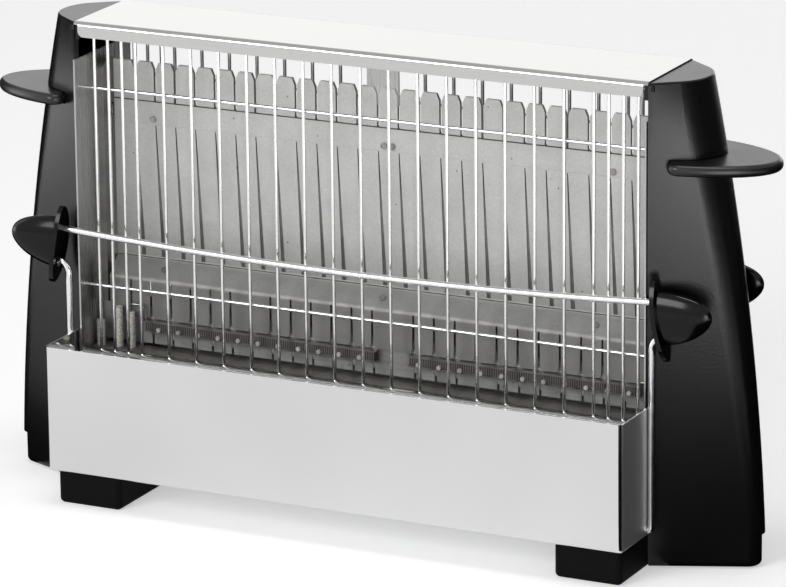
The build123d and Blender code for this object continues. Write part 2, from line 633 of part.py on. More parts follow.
# Heating elements: dark channels open to the guard, each with a wound strip and ceramic beads
CHANNEL_WALL = 0.6
STRIP_CLEARANCE = 0.1
STRIP_FRONT_Y = RAIL_FRONT_Y - 0.5
BEAD = 2.2
BEAD_LENGTH = 1.0
BEAD_HEIGHT = 80.9
for side_name, (start, end) in zip(("left", "right"), RAIL_SPANS):
    with BuildPart() as heater_rail:
        with BuildSketch(Plane.YZ.offset(start)):
            with BuildLine():
                Polyline(
                    (-RAIL_FRONT_Y, RAIL_TOP - CHANNEL_WALL / 2),
                    (-RAIL_BACK_Y - CHANNEL_WALL / 2, RAIL_TOP - CHANNEL_WALL / 2),
                    (-RAIL_BACK_Y - CHANNEL_WALL / 2, RAIL_FOOT + CHANNEL_WALL / 2),
                    (-RAIL_FRONT_Y, RAIL_FOOT + CHANNEL_WALL / 2),
                )
            trace(line_width=CHANNEL_WALL)
        extrude(amount=end - start)
    with BuildPart() as heating_strip:
        with BuildSketch(Plane.YZ.offset(start + CHANNEL_WALL)):
            with Locations((-STRIP_FRONT_Y, (RAIL_FOOT + RAIL_TOP) / 2)):
                Rectangle(
                    STRIP_FRONT_Y - RAIL_BACK_Y - CHANNEL_WALL - STRIP_CLEARANCE,
                    RAIL_TOP - RAIL_FOOT - 2 * (CHANNEL_WALL + STRIP_CLEARANCE),
                    align=(Align.MIN, Align.CENTER),
                )
        extrude(amount=end - start - 2 * CHANNEL_WALL)
    for face_name, face in FACES:
        save(faced(heater_rail.part, face), f"heater_rail_{face_name}_{side_name}")
        save(faced(heating_strip.part, face), f"heating_strip_{face_name}_{side_name}")
BEAD_XS = []
for start, end in RAIL_SPANS:
    bead_count = int((end - start - BEAD_PITCH) // BEAD_PITCH) + 1
    first_bead = (start + end - (bead_count - 1) * BEAD_PITCH) / 2
    BEAD_XS += [first_bead + BEAD_PITCH * index for index in range(bead_count)]
with BuildPart() as ceramic_beads:
    with BuildSketch(Plane.XZ.offset(STRIP_FRONT_Y + SEAT_GAP)):
        with Locations(*[(x, BEAD_HEIGHT) for x in BEAD_XS]):
            Circle(BEAD / 2)
    extrude(amount=BEAD_LENGTH)
for face_name, face in FACES:
    save(faced(ceramic_beads.part, face), f"ceramic_beads_{face_name}")

# Reflector rivets: through both sheets at the top, and short ones through each flare
with BuildPart() as reflector_rivets:
    with BuildSketch(Plane.XZ):
        with Locations(*RIVET_POINTS):
            Circle(RIVET / 2)
    extrude(amount=REFLECTOR_Y + THIN_SHEET, both=True)
    for face in (-1, 1):
        with BuildSketch(Plane.XZ.offset(-face * (REFLECTOR_Y + THIN_SHEET / 2 + SEAT_GAP))):
            with Locations(*RIVET_POINTS):
                Circle(RIVET_HEAD / 2)
        extrude(amount=-face * RIVET_HEAD_HEIGHT)
        with BuildSketch(flare_plane(face).offset(THIN_SHEET / 2 + SEAT_GAP)):
            with Locations(*[(x, 0) for x in EYELETS]):
                Circle(RIVET_HEAD / 2)
        extrude(amount=RIVET_HEAD_HEIGHT)
        with BuildSketch(flare_plane(face).offset(-THIN_SHEET)):
            with Locations(*[(x, 0) for x in EYELETS]):
                Circle(RIVET / 2)
        extrude(amount=2 * THIN_SHEET)
save(reflector_rivets.part, "reflector_rivets")

# Screws: two through each post and side plate into a cheek, and two up through each foot bar
with BuildPart() as cheek_screws:
    for side in (-1, 1):
        seat = side * (PLATE_INNER - POST_DEPTH - SEAT_GAP)
        with BuildSketch(Plane.YZ.offset(seat)):
            with Locations(*[(0, height) for height in SCREW_HEIGHTS]):
                Circle(SCREW_HEAD / 2)
        extrude(amount=-side * SCREW_HEAD_HEIGHT)
        with BuildSketch(Plane.YZ.offset(seat)):
            with Locations(*[(0, height) for height in SCREW_HEIGHTS]):
                Circle(SCREW / 2)
        extrude(amount=side * (SCREW_LENGTH + POST_DEPTH))
save(cheek_screws.part, "cheek_screws")
with BuildPart() as foot_screws:
    with BuildSketch(Plane.XY.offset(FOOT_SCREW_HEAD - SEAT_GAP)):
        with Locations(*[(x, y) for x in (-FOOT_BAR_X, FOOT_BAR_X) for y in FOOT_SCREW_YS]):
            Circle(SCREW_HEAD / 2)
    extrude(amount=-SCREW_HEAD_HEIGHT)
    with BuildSketch(Plane.XY.offset(FOOT_SCREW_HEAD - SEAT_GAP)):
        with Locations(*[(x, y) for x in (-FOOT_BAR_X, FOOT_BAR_X) for y in FOOT_SCREW_YS]):
            Circle(SCREW / 2)
    extrude(amount=FOOT_HEIGHT + 2 * SHEET - FOOT_SCREW_HEAD)
save(foot_screws.part, "foot_screws")

# Bails: one rod bent into a shallow bar, a hidden loop inside each knob, two arms and two pivot pins
BAR_SLOPE = 2 * BAR_SAG / BAR_END_X
BAIL_LOOP = (
    (BAR_END_X, BAR_END_HEIGHT),
    (BAR_END_X + 14.5, BAR_END_HEIGHT + 14.5 * BAR_SLOPE),
    (BAR_END_X + 18.5, BAR_END_HEIGHT - 7.4),
    (BAR_END_X + 12.0, BAR_END_HEIGHT - 15.0),
    (ARM_X, BAR_END_HEIGHT - 17.2),
    (ARM_X, PIVOT_HEIGHT),
    (ARM_X - PIVOT_PIN, PIVOT_HEIGHT),
)
BAIL_RADII = [3.5, 3.5, 3.5, 7.0, PIVOT_BEND]


def bail_tube(radius):
    """The bail's bent path swept with a round section."""
    with BuildPart() as tube:
        with BuildLine(Plane.XZ.offset(BAIL_Y)) as path:
            right_arm = FilletPolyline(*BAIL_LOOP, radius=BAIL_RADII)
            ThreePointArc(
                (-BAR_END_X, BAR_END_HEIGHT),
                (0, BAR_END_HEIGHT - BAR_SAG),
                (BAR_END_X, BAR_END_HEIGHT),
            )
            mirror(right_arm, about=Plane.YZ)
        with BuildSketch(Plane(path.wire() @ 0, z_dir=path.wire() % 0)):
            Circle(radius)
        sweep(path=path.wire(), transition=Transition.ROUND)
    return tube.part


bail_rod = bail_tube(ROD / 2)
for face_name, face in FACES:
    save(faced(bail_rod, face), f"bail_{face_name}")

# Knobs: an upright curved shield with an egg-shaped ear outside it, moulded on the bail's loop
SHIELD_MIDDLE = (SHIELD_TOP[0] + SHIELD_BELLY, (SHIELD_TOP[1] + SHIELD_BOTTOM[1]) / 2)
EAR_LENGTH = EAR_TIP[0] - SHIELD_MIDDLE[0]
EAR_STEPS = (0.0, 0.3, 0.6, 0.8, 0.93)
with BuildPart() as knob_shield:
    with BuildSketch(Plane.XZ.offset(KNOB_Y)):
        with BuildLine():
            ThreePointArc(SHIELD_TOP, SHIELD_MIDDLE, SHIELD_BOTTOM)
        trace(line_width=SHIELD)
    extrude(amount=SHIELD_HALF_DEPTH, both=True)
    with BuildSketch(Plane.YZ.offset(HALF_LENGTH)):
        with Locations((-KNOB_Y, SHIELD_MIDDLE[1])):
            Ellipse(SHIELD_HALF_DEPTH, (SHIELD_TOP[1] - SHIELD_BOTTOM[1]) / 2)
    extrude(amount=CHEEK_HALF_DEPTH, mode=Mode.INTERSECT)
with BuildPart() as ear:
    ear_sections = []
    for step in EAR_STEPS:
        top = EAR_TIP[1] + EAR_RISE * (1 - step**2.3) ** (1 / 2.3)
        foot = EAR_TIP[1] - EAR_DROP * (1 - step**1.75) ** (1 / 1.75)
        half_depth = EAR_HALF_DEPTH * (1 - step**2.4) ** (1 / 2.4)
        with BuildSketch(Plane.YZ.offset(SHIELD_MIDDLE[0] + EAR_LENGTH * step)) as ear_section:
            with Locations((-KNOB_Y, (top + foot) / 2)):
                Ellipse(half_depth, (top - foot) / 2)
        ear_sections.append(ear_section.sketch)
    loft(sections=[*ear_sections, Vertex(EAR_TIP[0], -KNOB_Y, EAR_TIP[1])])
with BuildPart() as knob:
    add(knob_shield.part)
    add(ear.part)
    add(bail_tube(ROD / 2 + KNOB_FIT), mode=Mode.SUBTRACT)
for face_name, face in FACES:
    for side_name, side in SIDES:
        save(faced(sided(knob.part, side), face), f"knob_{face_name}_{side_name}")

# Lead sleeves: braided sleeves over the leads that feed the heating elements
SLEEVE = 4.0
SLEEVE_FOOT = HEAT_SHIELD_HEIGHT + SEAT_GAP
SLEEVE_POINTS = (
    (-147.0, -14.2, 83.0),
    (-137.5, -13.0, 90.5),
    (-131.0, -12.4, 88.5),
    (146.8, -13.0, 83.0),
)
with BuildPart() as lead_sleeves:
    for x, y, top in SLEEVE_POINTS:
        with BuildSketch(Plane.XY.offset(SLEEVE_FOOT)):
            with Locations((x, y), (x, -y)):
                Circle(SLEEVE / 2)
        extrude(amount=top - SLEEVE_FOOT)
save(lead_sleeves.part, "lead_sleeves")

# Leads: stiff wires from the tops of the sleeves to the ends of the heating elements
LEAD = 1.1
LEAD_SPANS = ((SLEEVE_POINTS[2], RAIL_SPANS[0][0]), (SLEEVE_POINTS[3], RAIL_SPANS[1][1]))
LEAD_HEIGHT = (RAIL_FOOT + RAIL_TOP) / 2
with BuildPart() as lead_wires:
    for (x, y, top), rail_end in LEAD_SPANS:
        with BuildLine(Plane.XZ.offset(-y)) as lead_path:
            FilletPolyline(
                (x, top + SEAT_GAP),
                (x, top + 4),
                (rail_end, top + 4),
                (rail_end, RAIL_TOP + SEAT_GAP),
                radius=1.2,
            )
        with BuildSketch(Plane(lead_path.wire() @ 0, z_dir=lead_path.wire() % 0)):
            Circle(LEAD / 2)
        sweep(path=lead_path.wire())
    mirror(about=Plane.XZ)
save(lead_wires.part, "lead_wires")

# Terminal block: ceramic block on the bottom plate that joins the supply to the element leads
BLOCK_SIZE = (16.0, 30.0, 15.0)
BLOCK_X = -138.0
with BuildPart() as terminal_block:
    with BuildSketch(Plane.XY.offset(FOOT_HEIGHT + SHEET)):
        with Locations((BLOCK_X, 0)):
            Rectangle(BLOCK_SIZE[0], BLOCK_SIZE[1])
    extrude(amount=BLOCK_SIZE[2])
    fillet(terminal_block.edges().filter_by(Axis.Z), radius=1.5)
    with Locations(*[(BLOCK_X, y, FOOT_HEIGHT + SHEET + BLOCK_SIZE[2]) for y in (-9.0, 0.0, 9.0)]):
        Hole(radius=2.2, depth=BLOCK_SIZE[2] - 3)
save(terminal_block.part, "terminal_block")
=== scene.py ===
"""Looks of a drop-side toaster: a slim upright toaster with a wire guard and a swinging bail on each side.

X runs along the toaster, -Y is the front, +Z is up, and lengths are in metres.
"""

from math import cos, pi, radians, sin

import bpy
from mathutils import Matrix, Vector


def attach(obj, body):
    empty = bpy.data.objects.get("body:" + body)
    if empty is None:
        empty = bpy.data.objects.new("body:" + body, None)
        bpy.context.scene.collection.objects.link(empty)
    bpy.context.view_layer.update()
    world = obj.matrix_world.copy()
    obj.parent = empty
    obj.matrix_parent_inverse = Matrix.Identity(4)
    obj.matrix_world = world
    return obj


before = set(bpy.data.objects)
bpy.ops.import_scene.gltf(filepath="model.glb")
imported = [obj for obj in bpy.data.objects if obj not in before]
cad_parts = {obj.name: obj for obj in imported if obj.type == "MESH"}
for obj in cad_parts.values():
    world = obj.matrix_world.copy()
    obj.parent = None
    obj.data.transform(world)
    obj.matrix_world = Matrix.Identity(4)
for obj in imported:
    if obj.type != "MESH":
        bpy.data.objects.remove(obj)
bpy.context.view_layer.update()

# Camera: a long lens that looks from the right of the toaster's front, a little above it.
AZIMUTH = radians(26.41)
ELEVATION = radians(16.19)
ROLL = radians(-0.6)
CAMERA_DISTANCE = 2.5356
LENS_LENGTH_MM = 241.64
SENSOR_WIDTH_MM = 36
AIM_HEIGHT = 0.1175
AIM_RIGHT = 0.00585
AIM_DOWN = 0.00723
outward = Vector((sin(AZIMUTH) * cos(ELEVATION), -cos(AZIMUTH) * cos(ELEVATION), sin(ELEVATION)))
right = Vector((cos(AZIMUTH), sin(AZIMUTH), 0))
above = outward.cross(right)
turned_right = right * cos(ROLL) + above * sin(ROLL)
turned_above = above * cos(ROLL) - right * sin(ROLL)
aim = Vector((0, 0, AIM_HEIGHT))
place = aim + outward * CAMERA_DISTANCE + right * AIM_RIGHT - above * AIM_DOWN
facing = Matrix((turned_right, turned_above, outward)).transposed().to_4x4()
camera = bpy.data.objects.new("camera", bpy.data.cameras.new("camera"))
camera.data.lens = LENS_LENGTH_MM
camera.data.sensor_width = SENSOR_WIDTH_MM
camera.matrix_world = Matrix.Translation(place) @ facing
bpy.context.scene.collection.objects.link(camera)
bpy.context.scene.camera = camera
bpy.context.scene.view_settings.view_transform = "Standard"


# Floor: a plain pale sheet. The camera and gloss see it a little brighter than it is lit, so that it is
# white around the toaster and grey only in the toaster's shadow.
def srgb(code):
    """An sRGB hex colour as linear red, green, blue and alpha."""
    parts = [int(code[start : start + 2], 16) / 255 for start in (1, 3, 5)]
    return (*[part / 12.92 if part <= 0.04045 else ((part + 0.055) / 1.055) ** 2.4 for part in parts], 1)


def add_node(tree, kind, sockets=None, **settings):
    """Add a node with its settings, and give its sockets values or link what feeds them."""
    added = tree.nodes.new(kind)
    for name, value in settings.items():
        setattr(added, name, value)
    for name, value in (sockets or {}).items():
        free = [item for item in added.inputs if item.enabled and not item.is_linked]
        socket = next(item for item in free if item.name == name)
        if isinstance(value, bpy.types.Node):
            value = next(item for item in value.outputs if item.enabled)
        if isinstance(value, bpy.types.NodeSocket):
            tree.links.new(value, socket)
        else:
            socket.default_value = value
    return added


def new_finish(name):
    """A new empty material and its tree."""
    material = bpy.data.materials.new(name)
    material.use_nodes = True
    material.node_tree.nodes.clear()
    return material, material.node_tree


FLOOR_SIZE = 9
FLOOR_LIFT = 0.45
FLOOR_GLOSS_LIFT = 0.3
bpy.ops.object.select_all(action="DESELECT")
bpy.ops.mesh.primitive_plane_add(size=FLOOR_SIZE)
floor = bpy.context.object
floor.name = "floor"
pale_floor, tree = new_finish("pale_floor")
path = add_node(tree, "ShaderNodeLightPath")
seen = add_node(
    tree,
    "ShaderNodeMapRange",
    {"Value": path.outputs["Is Camera Ray"], "To Min": 0.0, "To Max": FLOOR_LIFT},
)
mirrored = add_node(
    tree,
    "ShaderNodeMapRange",
    {"Value": path.outputs["Is Glossy Ray"], "To Min": 0.0, "To Max": FLOOR_GLOSS_LIFT},
)
lift = add_node(tree, "ShaderNodeMath", {"Value": seen}, operation="ADD")
tree.links.new(mirrored.outputs[0], lift.inputs[1])
matt = add_node(tree, "ShaderNodeBsdfDiffuse", {"Color": srgb("#E6E6E6")})
glow = add_node(tree, "ShaderNodeEmission", {"Strength": lift})
both = add_node(tree, "ShaderNodeAddShader", {"Shader": matt})
tree.links.new(glow.outputs[0], both.inputs[1])
add_node(tree, "ShaderNodeOutputMaterial", {"Surface": both})
floor.data.materials.append(pale_floor)

# Light: a pale surround, a large soft lamp at the front left and above, weaker ones from the left, from
# above and from behind, and two small low ones, at the front right and off the left end. All of them point
# at the middle of the toaster.
SURROUND = 0.3
LAMP_AIM = Vector((0, 0, 0.12))
world = bpy.data.worlds.new("surround")
world.use_nodes = True
world.node_tree.nodes.clear()
tree = world.node_tree
path = add_node(tree, "ShaderNodeLightPath")
seen = add_node(tree, "ShaderNodeMath", {"Value": path.outputs["Is Camera Ray"]}, operation="MAXIMUM")
tree.links.new(path.outputs["Is Glossy Ray"], seen.inputs[1])
strength = add_node(tree, "ShaderNodeMapRange", {"Value": seen, "To Min": SURROUND, "To Max": 1.0})
surround = add_node(tree, "ShaderNodeBackground", {"Strength": strength})
add_node(tree, "ShaderNodeOutputWorld", {"Surface": surround})
bpy.context.scene.world = world
LAMPS = (
    ("key_lamp", (-0.9, -2.2, 1.15), (1.2, 1.0), 27),
    ("left_lamp", (-2.2, -0.5, 0.8), (0.9, 1.5), 6),
    ("top_lamp", (0.1, -0.2, 2.0), (0.8, 0.5), 8),
    ("back_lamp", (-0.95, 1.9, 0.72), (1.3, 0.7), 1.7),
    ("rear_fill_lamp", (0.3, 2.3, 0.55), (1.4, 0.6), 5),
    ("low_right_lamp", (0.62, -0.82, 0.14), (0.36, 0.24), 1.6),
    ("low_left_lamp", (-0.8, -0.2, 0.1), (0.26, 0.16), 0.4),
)
for name, spot, (width, height), power in LAMPS:
    lamp = bpy.data.objects.new(name, bpy.data.lights.new(name, "AREA"))
    lamp.data.shape = "RECTANGLE"
    lamp.data.size = width
    lamp.data.size_y = height
    lamp.data.energy = power
    lamp.location = spot
    lamp.rotation_euler = (Vector(spot) - LAMP_AIM).to_track_quat("Z", "Y").to_euler()
    lamp.visible_camera = False
    bpy.context.scene.collection.objects.link(lamp)

# Cards: plain sheets that only gloss sees, as a studio stands them round metal. Grey ones overhead, behind
# and at the ends and near-black ones on the floor give the bright sheet its dark parts. One on the floor at
# the front right glows, for the soft light on the right cheek.
CARDS = (
    ("ceiling_card", (0, 0, 2.6), (3.4, 3.4), (0, 0, 0), "#CCCCCC", 1.0),
    ("back_card", (1.3, 1.6, 0.5), (2.4, 1.6), (90, 0, -40), "#484848", 1.0),
    ("right_card", (1.97, -0.3, 0.5), (2.3, 1.6), (90, 0, -98), "#484848", 1.0),
    ("left_card", (-1.81, 0.845, 0.5), (1.7, 1.6), (90, 0, 65), "#484848", 1.0),
    ("right_floor_card", (0.96, 0.75, 0.001), (1.6, 1.6), (0, 0, 0), "#080808", 1.0),
    ("left_floor_card", (-1.1, 0.6, 0.001), (1.5, 1.1), (0, 0, 0), "#080808", 1.0),
    ("near_right_card", (0.34, -0.17, 0.001), (0.34, 0.3), (0, 0, 0), "#080808", 1.0),
    ("near_left_card", (-0.36, 0.08, 0.001), (0.34, 0.26), (0, 0, 0), "#080808", 1.0),
    ("floor_glow_card", (0.72, -0.82, 0.002), (0.8, 0.8), (0, 0, 0), "#FFFFFF", 3.2),
)
for name, spot, (width, height), (tip, lean, turn), colour, glow in CARDS:
    bpy.ops.object.select_all(action="DESELECT")
    bpy.ops.mesh.primitive_plane_add(size=1)
    card = bpy.context.object
    card.name = name
    card.scale = (width, height, 1)
    card.location = spot
    card.rotation_euler = (radians(tip), radians(lean), radians(turn))
    card.visible_camera = card.visible_diffuse = card.visible_shadow = card.visible_transmission = False
    card_cloth, tree = new_finish(name)
    cloth = add_node(tree, "ShaderNodeEmission", {"Color": srgb(colour), "Strength": glow})
    add_node(tree, "ShaderNodeOutputMaterial", {"Surface": cloth})
    card.data.materials.append(card_cloth)


# Foot bars: two matt black blocks across the underside, moulded in a heat-proof phenolic compound and
# screwed on from below. They are duller than the cheeks, with a fine sandy grain. The supply inlet's
# bushing is the same.
def cover_nodes(material, *names):
    """Give CAD nodes this material."""
    for name in names:
        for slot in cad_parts[name].material_slots:
            slot.material = material


phenolic_foot, tree = new_finish("phenolic_foot")
spot = add_node(tree, "ShaderNodeTexCoord").outputs["Object"]
GRIT = 0.0011
GRIT_DEPTH = 0.00008
grit = add_node(tree, "ShaderNodeTexNoise", {"Vector": spot, "Scale": 1 / GRIT, "Detail": 2.0})
dull = add_node(tree, "ShaderNodeMapRange", {"Value": grit.outputs["Fac"], "To Min": 0.5, "To Max": 0.7})
shade = add_node(
    tree,
    "ShaderNodeMix",
    {"Factor": grit.outputs["Fac"], "A": srgb("#08080A"), "B": srgb("#131314")},
    data_type="RGBA",
)
relief = add_node(
    tree, "ShaderNodeBump", {"Height": grit.outputs["Fac"], "Strength": 0.5, "Distance": GRIT_DEPTH}
)
surface = add_node(
    tree,
    "ShaderNodeBsdfPrincipled",
    {"Base Color": shade, "Roughness": dull, "Specular IOR Level": 0.06, "Normal": relief},
)
add_node(tree, "ShaderNodeOutputMaterial", {"Surface": surface})
cover_nodes(phenolic_foot, "foot_bar_left", "foot_bar_right", "supply_inlet")

# Bottom plate: zinc-plated steel sheet that closes the space between the two trays. The plating has a soft
# grey bloom.
zinc_plate, tree = new_finish("zinc_plate")
spot = add_node(tree, "ShaderNodeTexCoord").outputs["Object"]
BLOOM = 0.012
bloom = add_node(
    tree, "ShaderNodeTexNoise", {"Vector": spot, "Scale": 1 / BLOOM, "Detail": 4.0, "Roughness": 0.6}
)
shade = add_node(
    tree,
    "ShaderNodeMix",
    {"Factor": bloom.outputs["Fac"], "A": srgb("#8E9092"), "B": srgb("#B9BABB")},
    data_type="RGBA",
)
dull = add_node(tree, "ShaderNodeMapRange", {"Value": bloom.outputs["Fac"], "To Min": 0.28, "To Max": 0.46})
surface = add_node(
    tree, "ShaderNodeBsdfPrincipled", {"Base Color": shade, "Metallic": 1.0, "Roughness": dull}
)
add_node(tree, "ShaderNodeOutputMaterial", {"Surface": surface})
cover_nodes(zinc_plate, "bottom_plate")

# Trays: polished stainless steel sheet, folded round the front, the two ends and under the bottom. It
# mirrors its surroundings, a little bent by the thin sheet's waves and softly veiled by wiping marks. The
# folded ends were left unpolished and are duller.
polished_stainless, tree = new_finish("polished_stainless")
spot = add_node(tree, "ShaderNodeTexCoord").outputs["Object"]
SHEET_WAVE = 0.09
WAVE_DEPTH = 0.0006
WIPE_LENGTH = 0.03
WIPE_WIDTH = 0.004
wave = add_node(tree, "ShaderNodeTexNoise", {"Vector": spot, "Scale": 1 / SHEET_WAVE, "Detail": 1.0})
stretched = add_node(
    tree, "ShaderNodeMapping", {"Vector": spot, "Scale": (1 / WIPE_LENGTH, 1 / WIPE_WIDTH, 1 / WIPE_WIDTH)}
)
wipe = add_node(tree, "ShaderNodeTexNoise", {"Vector": stretched, "Scale": 1.0, "Detail": 3.0})
wiped = add_node(tree, "ShaderNodeMapRange", {"Value": wipe.outputs["Fac"], "To Min": 0.07, "To Max": 0.11})
END_FOLD = 0.1524
FOLD_BLEND = 0.0006
FOLD_DULLNESS = 0.4
along = add_node(tree, "ShaderNodeSeparateXYZ", {"Vector": spot}).outputs["X"]
from_middle = add_node(tree, "ShaderNodeMath", {"Value": along}, operation="ABSOLUTE")
folded = add_node(
    tree,
    "ShaderNodeMapRange",
    {"Value": from_middle, "From Min": END_FOLD, "From Max": END_FOLD + FOLD_BLEND, "To Max": FOLD_DULLNESS},
)
dull = add_node(tree, "ShaderNodeMath", {"Value": wiped}, operation="ADD")
tree.links.new(folded.outputs[0], dull.inputs[1])
shade = add_node(
    tree,
    "ShaderNodeMix",
    {"Factor": wave.outputs["Fac"], "A": srgb("#D8D8D9"), "B": srgb("#EAEAEA")},
    data_type="RGBA",
)
relief = add_node(
    tree, "ShaderNodeBump", {"Height": wave.outputs["Fac"], "Strength": 0.3, "Distance": WAVE_DEPTH}
)
surface = add_node(
    tree,
    "ShaderNodeBsdfPrincipled",
    {"Base Color": shade, "Metallic": 1.0, "Roughness": dull, "Normal": relief},
)
add_node(tree, "ShaderNodeOutputMaterial", {"Surface": surface})
cover_nodes(polished_stainless, "tray_front", "tray_rear")

# Shoulders: the same steel behind each tray, rolled back to the foot of the guard and as bright as a
# mirror, so that it shows the foot of each wire. Fine drawing lines run along it.
mirror_stainless, tree = new_finish("mirror_stainless")
spot = add_node(tree, "ShaderNodeTexCoord").outputs["Object"]
DRAW_WIDTH = 0.0008
DRAW_LENGTH = 0.06
drawn = add_node(
    tree, "ShaderNodeMapping", {"Vector": spot, "Scale": (1 / DRAW_LENGTH, 1 / DRAW_WIDTH, 1 / DRAW_WIDTH)}
)
lines = add_node(tree, "ShaderNodeTexNoise", {"Vector": drawn, "Scale": 1.0, "Detail": 2.0})
dull = add_node(
    tree, "ShaderNodeMapRange", {"Value": lines.outputs["Fac"], "To Min": 0.035, "To Max": 0.07}
)
shade = add_node(
    tree,
    "ShaderNodeMix",
    {"Factor": lines.outputs["Fac"], "A": srgb("#CECECF"), "B": srgb("#EAEAEA")},
    data_type="RGBA",
)
surface = add_node(
    tree, "ShaderNodeBsdfPrincipled", {"Base Color": shade, "Metallic": 1.0, "Roughness": dull}
)
add_node(tree, "ShaderNodeOutputMaterial", {"Surface": surface})
cover_nodes(mirror_stainless, "shoulder_front", "shoulder_rear")

# Side plates and cover strap: bright-rolled steel, duller than the trays, with fine upright rolling lines.
# The plates are screwed to the cheeks, and the strap hangs the middle of the reflectors from the cover.
bright_steel, tree = new_finish("bright_rolled_steel")
spot = add_node(tree, "ShaderNodeTexCoord").outputs["Object"]
LINE_PITCH = 0.0012
LINE_LENGTH = 0.06
stretched = add_node(
    tree, "ShaderNodeMapping", {"Vector": spot, "Scale": (1 / LINE_PITCH, 1 / LINE_PITCH, 1 / LINE_LENGTH)}
)
lines = add_node(tree, "ShaderNodeTexNoise", {"Vector": stretched, "Scale": 1.0, "Detail": 2.0})
shade = add_node(
    tree,
    "ShaderNodeMix",
    {"Factor": lines.outputs["Fac"], "A": srgb("#9B9B9A"), "B": srgb("#C6C6C5")},
    data_type="RGBA",
)
dull = add_node(tree, "ShaderNodeMapRange", {"Value": lines.outputs["Fac"], "To Min": 0.2, "To Max": 0.36})
surface = add_node(
    tree, "ShaderNodeBsdfPrincipled", {"Base Color": shade, "Metallic": 1.0, "Roughness": dull}
)
add_node(tree, "ShaderNodeOutputMaterial", {"Surface": surface})
cover_nodes(bright_steel, "side_plate_left", "side_plate_right", "cover_strap")

# Posts and heater channels: mild steel channels on the side plates, which hold the reflectors and the
# heating strips. The heat has blued and browned them in cloudy patches.
CORNERS = [f"{face}_{side}" for face in ("front", "rear") for side in ("left", "right")]
heated_steel, tree = new_finish("heat_blued_steel")
spot = add_node(tree, "ShaderNodeTexCoord").outputs["Object"]
CLOUD = 0.008
cloud = add_node(
    tree, "ShaderNodeTexNoise", {"Vector": spot, "Scale": 1 / CLOUD, "Detail": 5.0, "Roughness": 0.6}
)
shade = add_node(
    tree,
    "ShaderNodeMix",
    {"Factor": cloud.outputs["Fac"], "A": srgb("#6A6968"), "B": srgb("#A09E9C")},
    data_type="RGBA",
)
dull = add_node(tree, "ShaderNodeMapRange", {"Value": cloud.outputs["Fac"], "To Min": 0.25, "To Max": 0.5})
surface = add_node(
    tree, "ShaderNodeBsdfPrincipled", {"Base Color": shade, "Metallic": 0.8, "Roughness": dull}
)
add_node(tree, "ShaderNodeOutputMaterial", {"Surface": surface})
cover_nodes(heated_steel, "end_post_left", "end_post_right")
cover_nodes(heated_steel, *[f"heater_rail_{corner}" for corner in CORNERS])

# Base ends and cheeks: hollow black ABS mouldings from a spark-eroded tool, one above the other at each
# end. The fine even grain scatters light, so that the flat flanks look dark grey and the round noses nearly
# black.
grained_abs, tree = new_finish("grained_black_abs")
spot = add_node(tree, "ShaderNodeTexCoord").outputs["Object"]
GRAIN = 0.0009
GRAIN_DEPTH = 0.00009
grain = add_node(
    tree, "ShaderNodeTexNoise", {"Vector": spot, "Scale": 1 / GRAIN, "Detail": 3.0, "Roughness": 0.6}
)
HANDLING = 0.035
handled = add_node(tree, "ShaderNodeTexNoise", {"Vector": spot, "Scale": 1 / HANDLING, "Detail": 2.0})
dull = add_node(
    tree, "ShaderNodeMapRange", {"Value": handled.outputs["Fac"], "To Min": 0.22, "To Max": 0.27}
)
shade = add_node(
    tree,
    "ShaderNodeMix",
    {"Factor": grain.outputs["Fac"], "A": srgb("#050506"), "B": srgb("#0E0E0F")},
    data_type="RGBA",
)
relief = add_node(
    tree, "ShaderNodeBump", {"Height": grain.outputs["Fac"], "Strength": 0.6, "Distance": GRAIN_DEPTH}
)
surface = add_node(
    tree,
    "ShaderNodeBsdfPrincipled",
    {"Base Color": shade, "Roughness": dull, "Specular IOR Level": 0.34, "Normal": relief},
)
add_node(tree, "ShaderNodeOutputMaterial", {"Surface": surface})
cover_nodes(grained_abs, "base_end_left", "base_end_right", "end_cheek_left", "end_cheek_right")

# Side handles: black phenolic plates that wrap the noses of the cheeks. The moulding is satin and has no
# grain, so their tops catch the light from behind.
satin_phenolic, tree = new_finish("satin_black_phenolic")
spot = add_node(tree, "ShaderNodeTexCoord").outputs["Object"]
FLOW = 0.02
flow = add_node(tree, "ShaderNodeTexNoise", {"Vector": spot, "Scale": 1 / FLOW, "Detail": 3.0})
dull = add_node(tree, "ShaderNodeMapRange", {"Value": flow.outputs["Fac"], "To Min": 0.26, "To Max": 0.36})
shade = add_node(
    tree,
    "ShaderNodeMix",
    {"Factor": flow.outputs["Fac"], "A": srgb("#0E0E0F"), "B": srgb("#151516")},
    data_type="RGBA",
)
surface = add_node(tree, "ShaderNodeBsdfPrincipled", {"Base Color": shade, "Roughness": dull})
add_node(tree, "ShaderNodeOutputMaterial", {"Surface": surface})
cover_nodes(satin_phenolic, "side_handle_left", "side_handle_right")

# Reflectors: thin steel sheets dipped in aluminium, back to back and slotted into tabs at the top. The dip
# is pale and semi-matt, faintly cloudy, with a few small dark specks and a fine dry grain. Painted shade
# darkens its lower part, more so towards the bottom.
aluminised_steel, tree = new_finish("aluminised_steel")
spot = add_node(tree, "ShaderNodeTexCoord").outputs["Object"]
SPECK_SPACING = 0.011
SPECK_CORE = 0.02  # both as shares of the spacing
SPECK_EDGE = 0.05
# Painted shade on the lower part: the heights where it begins and where it is full, and how far its edge
# wanders.
PAINTED_SHADE_TOP = 0.14
PAINTED_SHADE_FOOT = 0.104
PAINTED_SHADE_WANDER = 0.006
SMOKE = 0.022
DRY_GRAIN = 0.0012
DRY_GRAIN_DEPTH = 0.0001
DRY_GRAIN_SHARE = 0.6
specks = add_node(tree, "ShaderNodeTexVoronoi", {"Vector": spot, "Scale": 1 / SPECK_SPACING})
speckled = add_node(
    tree,
    "ShaderNodeMapRange",
    {"Value": specks.outputs["Distance"], "From Min": SPECK_CORE, "From Max": SPECK_EDGE},
)
